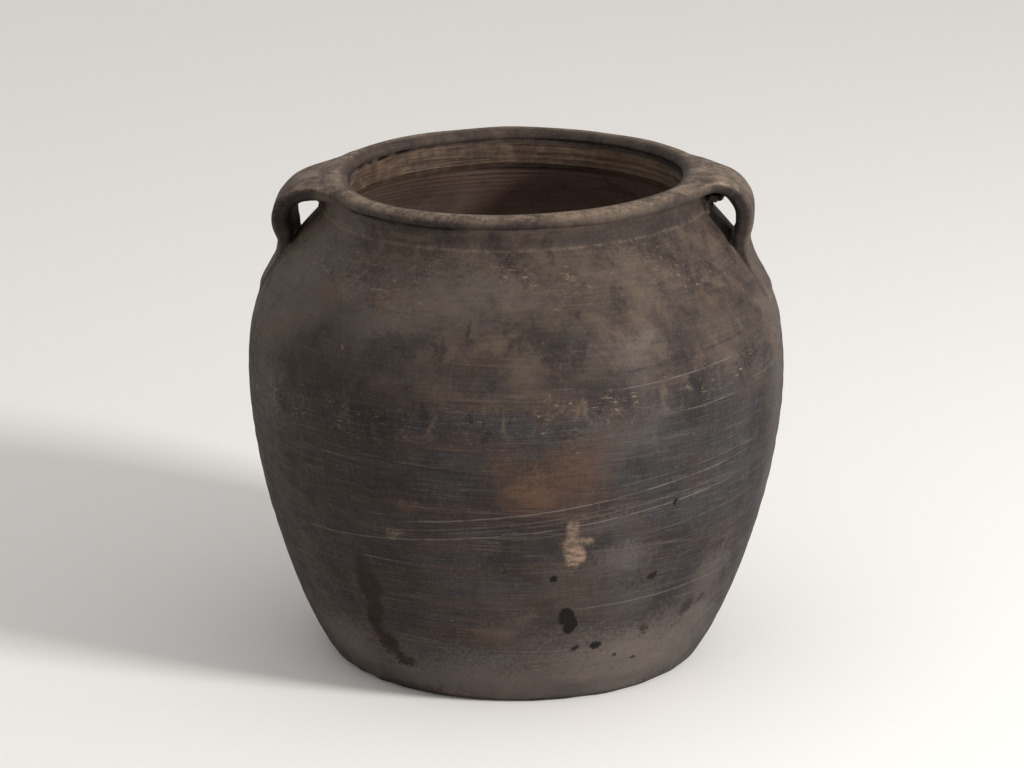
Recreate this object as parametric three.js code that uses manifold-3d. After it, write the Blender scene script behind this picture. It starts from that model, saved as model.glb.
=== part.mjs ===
// A hand-thrown clay storage jar with two strap handles, in millimetres, +Z up.
// The origin is the centre of the foot, on the surface that the jar stands on.
// +X points to the right-hand handle, and -Y to the front.

import * as THREE from 'three';
import { mergeVertices } from 'three/addons/utils/BufferGeometryUtils.js';
import Module from 'manifold-3d';

const wasm = await Module();
wasm.setup();

// Driving dimensions.

const FOOT_RADIUS = 98;
const FOOT_CHAMFER = 1.5;
const BELLY_RADIUS = 141.5;
const BELLY_HEIGHT = 154.5;
const SEAM_HEIGHT = 174; // where the upper section is joined to the lower one
const SHOULDER_END_RADIUS = 104;
const SHOULDER_END_HEIGHT = 238;
const BASE_THICKNESS = 9;
const WALL = 7;
const NECK_WALL = 10; // the wall thickens towards the mouth
const THICKENS_FROM = 205;
const JOINT_GAP = 0.3; // between neighbouring pieces of clay
const SCARF = 3; // how much higher a joint lies at the inside of the wall than at the outside

const COLLAR_FOOT_RADIUS = 102;
const COLLAR_FOOT_HEIGHT = 241;
const NECK_RADIUS = 100.3;
const NECK_RIDGE = 1.2; // how far the faint ridge stands out of the neck
const NECK_RIDGE_HEIGHT = 242.6;
const UNDERCUT_RADIUS = 99.6;
const UNDERCUT_HEIGHT = 252.8;
const LIP_RADIUS = 94.5; // from the jar's axis to the middle of the rolled lip
const LIP_HEIGHT = 255.6;
const LIP_HALF_WIDTH = 6.5;
const LIP_HALF_DEPTH = 3.9;

const HANDLE_AZIMUTH = -5; // degrees from +X: the handles sit slightly askew
const STRAP_CROWN = 3; // exponent of the strap's rounded-rectangle section
const TONGUE_TOP = 218; // below this the strap hugs the shoulder
const STRAP_FREE = 234; // above this it runs straight across

const RIM_TILT = 1.1; // how far the right of the rim stands above its middle
const RIM_TWIST = 0.8; // how far its quarters rise and fall between front, back and sides

const TURN_STEPS = 64;
const CURVE_STEPS = 7;
const SECTION_STEPS = 18;
const STRAP_STEPS = 22;

const LEFT = Math.PI;
const RIGHT = 0;
const ASKEW = THREE.MathUtils.degToRad(HANDLE_AZIMUTH);

// The outline of the outer wall, as points of [radius, height].

const FOOT = new THREE.Vector2(FOOT_RADIUS, 0);
const BELLY = new THREE.Vector2(BELLY_RADIUS, BELLY_HEIGHT);
const SHOULDER_END = new THREE.Vector2(SHOULDER_END_RADIUS, SHOULDER_END_HEIGHT);
const COLLAR_FOOT = new THREE.Vector2(COLLAR_FOOT_RADIUS, COLLAR_FOOT_HEIGHT + JOINT_GAP);

const lowerOutline = new THREE.CubicBezierCurve(
  FOOT,
  new THREE.Vector2(114.5, 19),
  new THREE.Vector2(BELLY_RADIUS, 99.5),
  BELLY,
);
const upperOutline = new THREE.CubicBezierCurve(
  BELLY,
  new THREE.Vector2(BELLY_RADIUS, 194.5),
  new THREE.Vector2(130, 210),
  SHOULDER_END,
);
const neckOutline = new THREE.QuadraticBezierCurve(
  SHOULDER_END,
  new THREE.Vector2(COLLAR_FOOT_RADIUS + 0.5, COLLAR_FOOT_HEIGHT - 1),
  COLLAR_FOOT,
);

function outlineAt(height) {
  if (height < BELLY_HEIGHT) return lowerOutline;
  return height < SHOULDER_END_HEIGHT ? upperOutline : neckOutline;
}

// The outer radius at a height. Every stretch of the outline only ever climbs, so halving finds it.
function outerRadius(height) {
  const outline = outlineAt(height);
  const halvings = 40;
  let low = 0;
  let high = 1;
  for (let i = 0; i < halvings; i++) {
    const middle = (low + high) / 2;
    if (outline.getPoint(middle).y < height) low = middle;
    else high = middle;
  }
  return outline.getPoint(low).x;
}

// How fast the outer radius grows with height.
function outlineSlope(height) {
  const step = 0.5;
  return (outerRadius(height + step) - outerRadius(height - step)) / (2 * step);
}

// The inner radius keeps the wall's thickness square to its slope.
function innerRadius(height) {
  const thickened = THREE.MathUtils.smoothstep(height, THICKENS_FROM, COLLAR_FOOT_HEIGHT);
  const thickness = WALL + (NECK_WALL - WALL) * thickened;
  return outerRadius(height) - thickness * Math.hypot(1, outlineSlope(height));
}

function between(low, high, steps) {
  return Array.from({ length: steps + 1 }, (_, i) => low + ((high - low) * i) / steps);
}

// Solids of revolution. The outline runs round the section with the clay on its left.

function turned(outline) {
  const points = outline.map(([radius, height]) => new THREE.Vector2(radius, height));
  return new THREE.LatheGeometry(points, TURN_STEPS).rotateX(Math.PI / 2);
}

function wallRing(low, high, lowScarf, highScarf, steps) {
  const outer = between(low, high, steps).map((height) => [outerRadius(height), height]);
  const inner = between(high + highScarf, low + lowScarf, steps).map((height) => [innerRadius(height), height]);
  return turned([...outer, ...inner, outer[0]]);
}

function baseDisc() {
  return turned([
    [0, 0],
    [FOOT_RADIUS - FOOT_CHAMFER, 0],
    [FOOT_RADIUS, FOOT_CHAMFER],
    [outerRadius(BASE_THICKNESS), BASE_THICKNESS],
    [0, BASE_THICKNESS],
  ]);
}

function lowerWall() {
  return wallRing(BASE_THICKNESS + JOINT_GAP, SEAM_HEIGHT, 0, SCARF, 12);
}

function shoulderWall() {
  return wallRing(SEAM_HEIGHT + JOINT_GAP, COLLAR_FOOT_HEIGHT, SCARF, 0, 9);
}

// The outer side of the collar, from its foot over the top of the lip, grown by a margin.
function collarPath(margin) {
  const neck = NECK_RADIUS + margin;
  const path = new THREE.Path();
  path.moveTo(COLLAR_FOOT_RADIUS + margin, COLLAR_FOOT.y);
  path.lineTo(neck + NECK_RIDGE, NECK_RIDGE_HEIGHT);
  path.lineTo(neck, NECK_RIDGE_HEIGHT + NECK_RIDGE);
  path.lineTo(UNDERCUT_RADIUS + margin, UNDERCUT_HEIGHT - margin);
  return path;
}

function addLip(path, margin, endAngle) {
  const startAngle = -0.2 * Math.PI;
  path.absellipse(LIP_RADIUS, LIP_HEIGHT, LIP_HALF_WIDTH + margin, LIP_HALF_DEPTH + margin, startAngle, endAngle);
  return path;
}

function rimCollar() {
  const path = addLip(collarPath(0), 0, 1.15 * Math.PI);
  const foot = innerRadius(COLLAR_FOOT_HEIGHT - 1);
  path.quadraticCurveTo(foot - 1, LIP_HEIGHT - LIP_HALF_DEPTH - 2, foot, COLLAR_FOOT.y);
  path.lineTo(COLLAR_FOOT_RADIUS, COLLAR_FOOT.y);
  return turned(path.getPoints(CURVE_STEPS).map((point) => [point.x, point.y]));
}

// The whole jar's outside as one solid body, grown by the joint gap, to trim the handles against.
function grownJar() {
  const walls = between(BASE_THICKNESS, COLLAR_FOOT_HEIGHT, 21).map((height) => [
    outerRadius(height) + JOINT_GAP,
    height,
  ]);
  const lip = addLip(collarPath(JOINT_GAP), JOINT_GAP, Math.PI / 2);
  const collar = lip.getPoints(CURVE_STEPS).map((point) => [point.x, point.y]);
  return turned([[0, BASE_THICKNESS], ...walls, ...collar, [0, LIP_HEIGHT + LIP_HALF_DEPTH + JOINT_GAP]]);
}

// Swept pieces: a rounded-rectangle section carried along a line of stations.

function sectionPoint(station, angle) {
  const rounded = (value) => Math.sign(value) * Math.abs(value) ** (2 / STRAP_CROWN);
  const across = (station.width / 2) * rounded(Math.cos(angle));
  const out = (station.thickness / 2) * rounded(Math.sin(angle));
  return station.centre.clone().addScaledVector(station.side, across).addScaledVector(station.normal, out);
}

function sweep(stations) {
  const last = stations.length - 1;
  const positions = [];
  for (const station of stations) {
    for (let i = 0; i < SECTION_STEPS; i++) {
      positions.push(...sectionPoint(station, (2 * Math.PI * i) / SECTION_STEPS));
    }
  }
  positions.push(...stations[0].centre, ...stations[last].centre);

  const firstHub = stations.length * SECTION_STEPS;
  const triangles = [];
  for (let i = 0; i < SECTION_STEPS; i++) {
    const next = (i + 1) % SECTION_STEPS;
    for (let ring = 0; ring < last; ring++) {
      const here = ring * SECTION_STEPS;
      const ahead = here + SECTION_STEPS;
      triangles.push(here + i, here + next, ahead + next, here + i, ahead + next, ahead + i);
    }
    triangles.push(firstHub, next, i);
    triangles.push(firstHub + 1, last * SECTION_STEPS + i, last * SECTION_STEPS + next);
  }

  const geometry = new THREE.BufferGeometry();
  geometry.setAttribute('position', new THREE.Float32BufferAttribute(positions, 3));
  geometry.setIndex(triangles);
  return geometry;
}

// A station of a strap's tongue, whose outer face stands a little proud of the shoulder at that height.
function tongue(height, proud, width) {
  const thickness = 4;
  const outward = new THREE.Vector2(1, -outlineSlope(height)).setLength(proud - thickness / 2);
  return [outerRadius(height) + outward.x, height + outward.y, width, thickness];
}

// The middle line of each strap in the plane of its handle, from inside the lip, out, down and along the
// shoulder, as [radius, height, width, thickness]. The two were pulled by hand and differ a little.
const STRAPS = {
  left: [
    [93, 255, 74, 6],
    [101, 254.6, 64, 7],
    [108, 252.8, 52, 8.4],
    [114.6, 250.6, 46, 9],
    [120, 245.8, 44, 9.4],
    [123, 239.5, 43, 9.6],
    [122.8, 231.5, 42, 8.4],
    [121.8, 224, 42, 6.6],
    tongue(214, 2.4, 43),
    tongue(205, 1.2, 42),
    tongue(198, 0.7, 37),
    tongue(191, -4, 28),
  ],
  right: [
    [93, 255.6, 74, 6.4],
    [101, 255.6, 66, 6.6],
    [107.4, 254.3, 54, 6.8],
    [113, 251.9, 46, 7.6],
    [117.2, 247.6, 44, 8.8],
    [119.9, 241.6, 43, 9],
    [120.3, 234, 42, 8.8],
    [119.4, 225, 42, 7.4],
    tongue(214, 2.2, 43),
    tongue(205, 1.6, 42),
    tongue(198, 1, 37),
    tongue(191, -4, 28),
  ],
};

// Bends a strap's flat tongue round the shoulder, where (x, y) is (radius, distance across).
function hugShoulder(geometry) {
  const { position } = geometry.attributes;
  for (let i = 0; i < position.count; i++) {
    const radius = position.getX(i);
    const across = position.getY(i);
    const hug = 1 - THREE.MathUtils.smoothstep(position.getZ(i), TONGUE_TOP, STRAP_FREE);
    const azimuth = (hug * across) / radius;
    position.setXY(i, radius * Math.cos(azimuth), radius * Math.sin(azimuth) + (1 - hug) * across);
  }
  return geometry;
}

function strap(which, margin) {
  const points = STRAPS[which].map(([radius, height]) => new THREE.Vector3(radius, 0, height));
  const sizes = STRAPS[which].map(([, , width, thickness]) => new THREE.Vector2(width, thickness));
  const line = new THREE.CatmullRomCurve3(points);
  const sizeLine = new THREE.SplineCurve(sizes);
  const side = new THREE.Vector3(0, 1, 0);
  const stations = between(0, 1, STRAP_STEPS).map((along) => {
    const size = sizeLine.getPoint(along);
    return {
      centre: line.getPoint(along),
      side,
      normal: new THREE.Vector3().crossVectors(line.getTangent(along), side),
      width: size.x + 2 * margin,
      thickness: size.y + 2 * margin,
    };
  });
  return hugShoulder(sweep(stations));
}

// A roll of clay pressed into the corner under the strap, along the neck.
function lutingRoll() {
  const radius = 101.6;
  const height = 248;
  const halfSpan = THREE.MathUtils.degToRad(12);
  const thickest = 7.4;
  const up = new THREE.Vector3(0, 0, 1);
  const stations = between(-1, 1, 10).map((along) => {
    const angle = along * halfSpan;
    const normal = new THREE.Vector3(Math.cos(angle), Math.sin(angle), 0);
    const size = thickest * (1 - 0.45 * along * along);
    return {
      centre: normal.clone().multiplyScalar(radius).setZ(height),
      side: up,
      normal,
      width: size,
      thickness: size,
    };
  });
  return sweep(stations);
}

// Cutting.

function toSolid(geometry) {
  const bare = geometry.clone();
  bare.deleteAttribute('normal');
  bare.deleteAttribute('uv');
  const merged = mergeVertices(bare);
  const vertProperties = merged.attributes.position.array;
  const triVerts = Uint32Array.from(merged.index.array);
  return new wasm.Manifold(new wasm.Mesh({ numProp: 3, vertProperties, triVerts }));
}

function toGeometry(solid) {
  const { vertProperties, triVerts } = solid.getMesh();
  const geometry = new THREE.BufferGeometry();
  geometry.setAttribute('position', new THREE.BufferAttribute(vertProperties, 3));
  geometry.setIndex(new THREE.BufferAttribute(triVerts, 1));
  return geometry;
}

// Cutting can leave loose crumbs, so only the largest body is kept.
function largestBody(solid) {
  return solid.decompose().reduce((best, body) => (body.volume() > best.volume() ? body : best));
}

const jarSolid = toSolid(grownJar().rotateZ(-ASKEW));

function handle(which, azimuth) {
  const trimmed = largestBody(toSolid(strap(which, 0)).subtract(jarSolid));
  return toGeometry(trimmed).rotateZ(azimuth);
}

function handleLuting(which, azimuth) {
  const pressed = toSolid(lutingRoll()).subtract(jarSolid).subtract(toSolid(strap(which, JOINT_GAP)));
  return toGeometry(largestBody(pressed)).rotateZ(azimuth);
}

// The hand-made rim isn't level: it tilts and twists a little, more and more above the belly seam.
function handMade(geometry) {
  const { position } = geometry.attributes;
  const point = new THREE.Vector3();
  for (let i = 0; i < position.count; i++) {
    point.fromBufferAttribute(position, i);
    const azimuth = Math.atan2(point.y, point.x);
    const lift = THREE.MathUtils.smoothstep(point.z, SEAM_HEIGHT, LIP_HEIGHT);
    const rise = RIM_TILT * Math.cos(azimuth) - RIM_TWIST * Math.sin(2 * azimuth);
    position.setZ(i, point.z + lift * rise);
  }
  geometry.computeVertexNormals();
  return geometry;
}

// Materials: unglazed clay, smoke-blackened, browner towards the rim.

function clay(color, roughness) {
  return new THREE.MeshStandardMaterial({ color, roughness, metalness: 0 });
}

const lowerClay = clay(0x3d3a39, 0.8);
const shoulderClay = clay(0x4b4139, 0.85);
const rimClay = clay(0x4f453c, 0.85);
const lutingClay = clay(0x4a3d33, 0.95);

const jar = new THREE.Group();

function add(name, geometry, material) {
  const mesh = new THREE.Mesh(handMade(geometry), material);
  mesh.name = name;
  jar.add(mesh);
}

add('base_disc', baseDisc(), lowerClay);
add('lower_wall', lowerWall(), lowerClay);
add('shoulder_wall', shoulderWall(), shoulderClay);
add('rim_collar', rimCollar(), rimClay);
for (const [which, facing] of [['left', LEFT], ['right', RIGHT]]) {
  add(`${which}_handle`, handle(which, facing + ASKEW), rimClay);
  add(`${which}_handle_luting`, handleLuting(which, facing + ASKEW), lutingClay);
}

export default jar;
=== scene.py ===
import functools
import math

import bpy
import numpy as np
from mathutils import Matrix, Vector


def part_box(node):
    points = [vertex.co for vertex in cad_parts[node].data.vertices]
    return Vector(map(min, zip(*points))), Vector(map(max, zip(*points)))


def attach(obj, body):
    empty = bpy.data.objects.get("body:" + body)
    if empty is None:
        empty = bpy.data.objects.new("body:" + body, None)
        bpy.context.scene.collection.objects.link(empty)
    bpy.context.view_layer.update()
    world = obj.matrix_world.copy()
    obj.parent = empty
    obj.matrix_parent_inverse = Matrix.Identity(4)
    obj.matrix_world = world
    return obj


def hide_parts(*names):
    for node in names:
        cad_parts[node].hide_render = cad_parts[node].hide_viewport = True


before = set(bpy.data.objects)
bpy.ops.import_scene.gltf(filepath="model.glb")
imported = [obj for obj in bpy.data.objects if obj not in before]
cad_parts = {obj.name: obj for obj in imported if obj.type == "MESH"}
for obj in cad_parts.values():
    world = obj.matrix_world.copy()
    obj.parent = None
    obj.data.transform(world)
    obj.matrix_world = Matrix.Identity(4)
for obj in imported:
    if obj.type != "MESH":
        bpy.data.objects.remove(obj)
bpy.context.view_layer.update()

# A hand-thrown, smoke-blackened clay jar with two strap handles. Lengths are in metres.
# Azimuths are measured round the jar from +X, the right-hand handle, as the frame has them.

MM = 0.001

# ------------ sizes from the frame

BELLY_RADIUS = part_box("lower_wall")[1].x
BASE_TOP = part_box("base_disc")[1].z
SEAM_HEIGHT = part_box("shoulder_wall")[0].z
COLLAR_FOOT_HEIGHT = (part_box("shoulder_wall")[1].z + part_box("rim_collar")[0].z) / 2
RIM_TILT = 1.1 * MM  # how far the right of the rim stands above its middle
RIM_TWIST = 0.8 * MM  # how far it rises and falls halfway between its front, back and sides
BACK_RISE = 0.8 * MM  # how far the visible rim also bulges up at the back right
RIM_SWAY = 1.64 * MM  # the most that the tilt and the twist together lift the rim
LIP_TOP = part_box("rim_collar")[1].z - RIM_SWAY

CRACK_DEPTH = 0.8 * MM  # of the crack under the lip

WALL = 7 * MM
NECK_WALL = 10 * MM  # the wall thickens towards the mouth
THICKENS_FROM = 0.85 * COLLAR_FOOT_HEIGHT
FOOT_RADIUS = 0.693 * BELLY_RADIUS
BELLY_HEIGHT = 0.887 * SEAM_HEIGHT
SHOULDER_END = (0.7355 * BELLY_RADIUS, COLLAR_FOOT_HEIGHT - 3 * MM)
COLLAR_FOOT_RADIUS = 0.7215 * BELLY_RADIUS
NECK_RADIUS = 0.7085 * BELLY_RADIUS
LIP_RADIUS = 0.668 * BELLY_RADIUS
LIP_HALF_WIDTH = 6.5 * MM
LIP_HALF_DEPTH = 3.9 * MM
LIP_HEIGHT = LIP_TOP - LIP_HALF_DEPTH
LIP_START = math.radians(-38)  # where the round lip leaves the neck, below its widest point
UNDERCUT_RADIUS = LIP_RADIUS + LIP_HALF_WIDTH * math.cos(LIP_START)
UNDERCUT_HEIGHT = LIP_HEIGHT + LIP_HALF_DEPTH * math.sin(LIP_START)
FLOOR_FILLET = 14 * MM  # the round inner corner between wall and floor
FOOT_CHAMFER = 1.5 * MM

HANDLE_AZIMUTH = math.radians(-5)
TONGUE_TOP = 218 * MM  # below this a strap hugs the shoulder
STRAP_FREE = 234 * MM  # above this it runs straight across

TURN_STEPS = 448
TURN = np.linspace(0, 2 * math.pi, TURN_STEPS, endpoint=False)[None, :]
ROW = 1.1 * MM

# ------------ the jar's outline


def smoothstep(value, low, high):
    part = np.clip((value - low) / (high - low), 0, 1)
    return part * part * (3 - 2 * part)


def bell(value, middle, half_width):
    """1 at the middle, falling smoothly to nothing a few half widths away."""
    return np.exp(-(((value - middle) / half_width) ** 2))


def bezier(points, count):
    """A cubic Bezier curve through its control points, as an array of (radius, height)."""
    along = np.linspace(0, 1, count)[:, None]
    back = 1 - along
    start, leave, arrive, end = (np.array(point) for point in points)
    return back**3 * start + 3 * back**2 * along * leave + 3 * back * along**2 * arrive + along**3 * end


def arc(centre, half_width, half_height, angles):
    """Part of an ellipse, as an array of (radius, height)."""
    return np.array(centre) + np.column_stack([half_width * np.cos(angles), half_height * np.sin(angles)])


def wall_outline():
    belly = (BELLY_RADIUS, BELLY_HEIGHT)
    above_foot = (0.8095 * BELLY_RADIUS, 0.109 * SEAM_HEIGHT)
    below_collar = (0.919 * BELLY_RADIUS, 0.871 * COLLAR_FOOT_HEIGHT)
    lower = bezier([(FOOT_RADIUS, 0), above_foot, (BELLY_RADIUS, 0.571 * SEAM_HEIGHT), belly], 400)
    upper = bezier([belly, (BELLY_RADIUS, 0.8065 * COLLAR_FOOT_HEIGHT), below_collar, SHOULDER_END], 300)
    foot = np.array([COLLAR_FOOT_RADIUS, COLLAR_FOOT_HEIGHT])
    return np.vstack([lower, upper[1:], foot, foot + (-0.5 * MM, MM)])


WALL_OUTLINE = wall_outline()


def outer_radius(height):
    return np.interp(height, WALL_OUTLINE[:, 1], WALL_OUTLINE[:, 0])


def wall_slope(height):
    """How fast the outer radius grows with height."""
    step = 0.5 * MM
    return (outer_radius(height + step) - outer_radius(height - step)) / (2 * step)


def inner_radius(height):
    """Keeps the wall's thickness square to its slope, and rounds the corner with the floor."""
    thickness = WALL + (NECK_WALL - WALL) * smoothstep(height, THICKENS_FROM, COLLAR_FOOT_HEIGHT)
    rise = np.clip((height - BASE_TOP) / FLOOR_FILLET, 0, 1)
    fillet = FLOOR_FILLET * (1 - np.sqrt(1 - (1 - rise) ** 2))
    slope = wall_slope(np.minimum(height, SHOULDER_END[1] - MM))
    return outer_radius(height) - thickness * np.hypot(1, slope) - fillet


def wall_normals(height, facing):
    """Unit normals of the wall's section, on its outer side if facing is 1 and its inner if -1."""
    normals = facing * np.column_stack([np.ones_like(height), -wall_slope(height)])
    return normals / np.linalg.norm(normals, axis=1, keepdims=True)


def neck_radius(height):
    """A hollow neck that spreads to its foot, with a faint raised ridge just above it."""
    above = height - COLLAR_FOOT_HEIGHT
    spread = (COLLAR_FOOT_RADIUS - NECK_RADIUS) * np.exp(-above / (1.8 * MM))
    ridge = 0.4 * MM * bell(above, 1.5 * MM, 0.8 * MM) * smoothstep(above, 0, 0.8 * MM)
    hollow = (NECK_RADIUS - UNDERCUT_RADIUS) * bell(height, UNDERCUT_HEIGHT, 4 * MM)
    return NECK_RADIUS + spread + ridge - hollow


def collar_outline():
    """The collar's closed section: up the neck, over the rolled lip and down the inside."""
    heights = np.linspace(COLLAR_FOOT_HEIGHT, UNDERCUT_HEIGHT, 26)
    neck = np.column_stack([neck_radius(heights), heights])
    angles = np.linspace(LIP_START, math.radians(205), 60)[1:]
    lip = arc((LIP_RADIUS, LIP_HEIGHT), LIP_HALF_WIDTH, LIP_HALF_DEPTH, angles)
    foot = np.array([inner_radius(COLLAR_FOOT_HEIGHT), COLLAR_FOOT_HEIGHT])
    bend = foot + (-0.2 * MM, 5 * MM)
    along = np.linspace(0, 1, 32)[1:, None]
    inside = (1 - along) ** 2 * lip[-1] + 2 * along * (1 - along) * bend + along**2 * foot
    return np.vstack([neck, lip, inside])


# ------------ the traces of hand and wheel


def waves(azimuth, height, seed, around, upright, count=14):
    """Smooth noise of about -1 to 1 that closes on itself round the jar. It has up to `around`
    waves in a turn, and none shorter than `upright` up the wall."""
    draw = np.random.default_rng(seed)
    total = 0
    for _ in range(count):
        turns = draw.integers(-around, around + 1)
        pitch = 2 * math.pi / upright * draw.uniform(0.25, 1)
        total = total + np.cos(turns * azimuth + pitch * height + draw.uniform(0, 2 * math.pi))
    return total * math.sqrt(0.5 / count)


def seam_height(azimuth):
    """The belly seam climbs a little towards the right."""
    return SEAM_HEIGHT + 3 * MM + 4 * MM * np.cos(azimuth)


def outer_relief(azimuth, height):
    lower = 1 - smoothstep(height, 0.8 * SEAM_HEIGHT, SEAM_HEIGHT)
    seam = height - seam_height(azimuth)
    out_of_round = 0.25 * MM * waves(azimuth, height, 11, 3, 260 * MM)
    belly = 1.2 * MM * span(azimuth, 0, 85) * bell(height, 0.5 * SEAM_HEIGHT, 0.45 * SEAM_HEIGHT)
    dents = 0.1 * MM * waves(azimuth, height, 12, 16, 45 * MM, 24)
    rings = (0.05 + 0.07 * lower) * MM * waves(azimuth, height, 13, 2, 8 * MM, 20)
    fine_rings = (0.012 + 0.022 * lower) * MM * waves(azimuth, height, 14, 1, 3.2 * MM, 20)
    step = (0.2 + 0.14 * np.cos(azimuth)) * MM
    ledge = step * (smoothstep(seam, -6 * MM, 2 * MM) - smoothstep(seam, 0, 26 * MM))
    worn_foot = 0.35 * MM * bell(height, 0, 2.5 * MM) * waves(azimuth, height, 15, 40, 30 * MM, 30)
    return out_of_round + belly + dents + rings + fine_rings + ledge + worn_foot


def inner_relief(azimuth, height):
    """Finger-wide throwing grooves, with finer scored lines near the mouth."""
    rings = 0.22 * MM * waves(azimuth, height, 21, 1, 14 * MM, 16)
    near_mouth = smoothstep(height, 0.85 * COLLAR_FOOT_HEIGHT, COLLAR_FOOT_HEIGHT)
    scores = 0.14 * MM * near_mouth * waves(azimuth, height, 22, 2, 2.6 * MM, 24)
    return rings + scores


def span(azimuth, middle, half_width):
    """1 at an azimuth given in degrees from +X, falling smoothly to 0 a half width away."""
    away = np.abs((azimuth - math.radians(middle) + math.pi) % (2 * math.pi) - math.pi)
    return 1 - smoothstep(away, 0.6 * math.radians(half_width), math.radians(half_width))


def filled_undercut(azimuth, height):
    """On the right, clay was smeared over the corner under the lip."""
    return 1.1 * MM * bell(height, UNDERCUT_HEIGHT, 3 * MM) * span(azimuth, -20, 65)


def rim_cracks(azimuth, radius, height):
    """A gap where the lip was folded over: under it at the front left, inside it at the back left."""
    wander = 0.5 * MM * waves(azimuth, 0, 33, 30, 30 * MM, 18)
    broken = waves(azimuth, 0, 34, 60, 30 * MM, 18)
    under = bell(height, UNDERCUT_HEIGHT - 0.2 * MM + 0.3 * wander, 0.55 * MM) * span(azimuth, -128, 28)
    inner = bell(height, LIP_HEIGHT - 2.6 * MM + wander, 0.6 * MM) * span(azimuth, 150, 42)
    outer_crack = CRACK_DEPTH * under * np.clip(0.8 + 0.3 * broken, 0, 1)
    inner_crack = 1.3 * MM * inner * np.clip(0.5 + broken, 0, 1)
    return np.where(radius > LIP_RADIUS, outer_crack, inner_crack)


def middle_radius(height):
    """Halfway through the wall and the collar."""
    wall = (outer_radius(height) + inner_radius(height)) / 2
    collar = smoothstep(height, COLLAR_FOOT_HEIGHT - 4 * MM, LIP_HEIGHT)
    return wall + (LIP_RADIUS - wall) * collar


def relief(azimuth, radius, height):
    """How far hand and wheel moved the clay out of its plain turned shape, square to its surface."""
    out = smoothstep(radius - middle_radius(height), -4 * MM, 4 * MM)
    on_lip = smoothstep(height, UNDERCUT_HEIGHT - MM, LIP_HEIGHT)
    lumps = 0.15 * MM * waves(azimuth, radius + height, 31, 11, 30 * MM, 26)
    wall = out * outer_relief(azimuth, height) + (1 - out) * inner_relief(azimuth, height)
    smeared = filled_undercut(azimuth, height) * (radius > LIP_RADIUS)
    return wall + on_lip * lumps + smeared - rim_cracks(azimuth, radius, height)


def settle(points):
    """The hand-made rim isn't level: it tilts and twists more and more above the belly seam."""
    azimuth = np.arctan2(points[..., 1], points[..., 0])
    lift = smoothstep(points[..., 2], SEAM_HEIGHT, LIP_HEIGHT)
    rise = RIM_TILT * np.cos(azimuth) - RIM_TWIST * np.sin(2 * azimuth) + BACK_RISE * span(azimuth, 50, 65)
    points[..., 2] += lift * rise
    return points


# ------------ turned pieces


PIECES = {"smoked_clay": [], "shoulder_clay": [], "rim_clay": [], "luting_clay": []}


def new_piece(node, points, faces, slot):
    name = node + "_clay"
    mesh = bpy.data.meshes.new(name)
    mesh.from_pydata(points.tolist(), [], faces)
    mesh.validate()
    mesh.shade_smooth()
    mesh.set_sharp_from_angle(angle=math.radians(50))
    piece = bpy.data.objects.new(name, mesh)
    bpy.context.scene.collection.objects.link(piece)
    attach(piece, "root")
    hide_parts(node)
    PIECES[slot].append(piece)
    return piece


def mark(piece, name, values):
    """Stores a value for each point, which the clay's material reads."""
    attribute = piece.data.attributes.new(name, "FLOAT", "POINT")
    attribute.data.foreach_set("value", np.ascontiguousarray(values, np.float32).ravel())


def outline_normals(outline):
    """Unit normals of a closed section whose clay lies on the left of its direction."""
    ahead = np.roll(outline, -1, axis=0) - np.roll(outline, 1, axis=0)
    normals = np.column_stack([ahead[:, 1], -ahead[:, 0]])
    return normals / np.linalg.norm(normals, axis=1, keepdims=True)


def turned(outline, normals):
    """Points of a closed section turned about the axis, as an array [row, step, xyz]. The relief
    moves each row along its normal, so a row whose normal is zero stays plain."""
    radius, height = outline[:, :1], outline[:, 1:]
    offset = relief(TURN, radius, height)
    radii = radius + offset * normals[:, :1]
    heights = np.maximum(height + offset * normals[:, 1:], 0)
    return settle(np.stack([radii * np.cos(TURN), radii * np.sin(TURN), heights], axis=-1))


def ring_faces(rows, closed):
    faces = []
    for row in range(rows if closed else rows - 1):
        here = row * TURN_STEPS
        ahead = (row + 1) % rows * TURN_STEPS
        for step in range(TURN_STEPS):
            side = (step + 1) % TURN_STEPS
            faces.append((here + step, here + side, ahead + side, ahead + step))
    return faces


def rows_between(low, high, size):
    return np.linspace(low, high, max(2, round((high - low) / size) + 1))


def wall_section(low, high, inner_row):
    """The wall's outline between two heights, and its normals."""
    up = rows_between(low, high, ROW)
    down = rows_between(low, high, inner_row)[::-1]
    outer = np.column_stack([outer_radius(up), up])
    inner = np.column_stack([inner_radius(down), down])
    return np.vstack([outer, inner]), np.vstack([wall_normals(up, 1), wall_normals(down, -1)])


def collar_section():
    """The collar's outline and normals, which agree with the wall's where the two meet."""
    outline = collar_outline()
    normals = outline_normals(outline)
    foot = np.array([COLLAR_FOOT_HEIGHT])
    normals[0] = wall_normals(foot, 1)[0]
    normals[-1] = wall_normals(foot, -1)[0]
    return outline, normals


def lip_top_wear_and_light(radius, height):
    """1 on the top of the lip, where wear is heaviest and where light from above is painted on."""
    return smoothstep(height, LIP_HEIGHT, LIP_TOP) * smoothstep(radius, LIP_RADIUS - 5 * MM, LIP_RADIUS)


def turned_ring(name, section, slot):
    outline, normals = section
    points = turned(outline, normals)
    piece = new_piece(name, points.reshape(-1, 3), ring_faces(len(outline), True), slot)
    radius, height = outline.T
    inside = smoothstep(middle_radius(height) - radius, 0.5 * MM, 5 * MM)
    ridge = 0.35 * bell(height, COLLAR_FOOT_HEIGHT + 1.5 * MM, 0.7 * MM)
    mark(piece, "inside", np.repeat(inside, TURN_STEPS))
    # Wear on the lip's top and the collar ridge. On the lip's top it also carries painted light from
    # above.
    mark(piece, "wear_and_top_light", np.repeat(np.maximum(lip_top_wear_and_light(radius, height), ridge) * (1 - inside), TURN_STEPS))
    mark(piece, "crack", rim_cracks(TURN, radius[:, None], height[:, None]) / CRACK_DEPTH)


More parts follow.
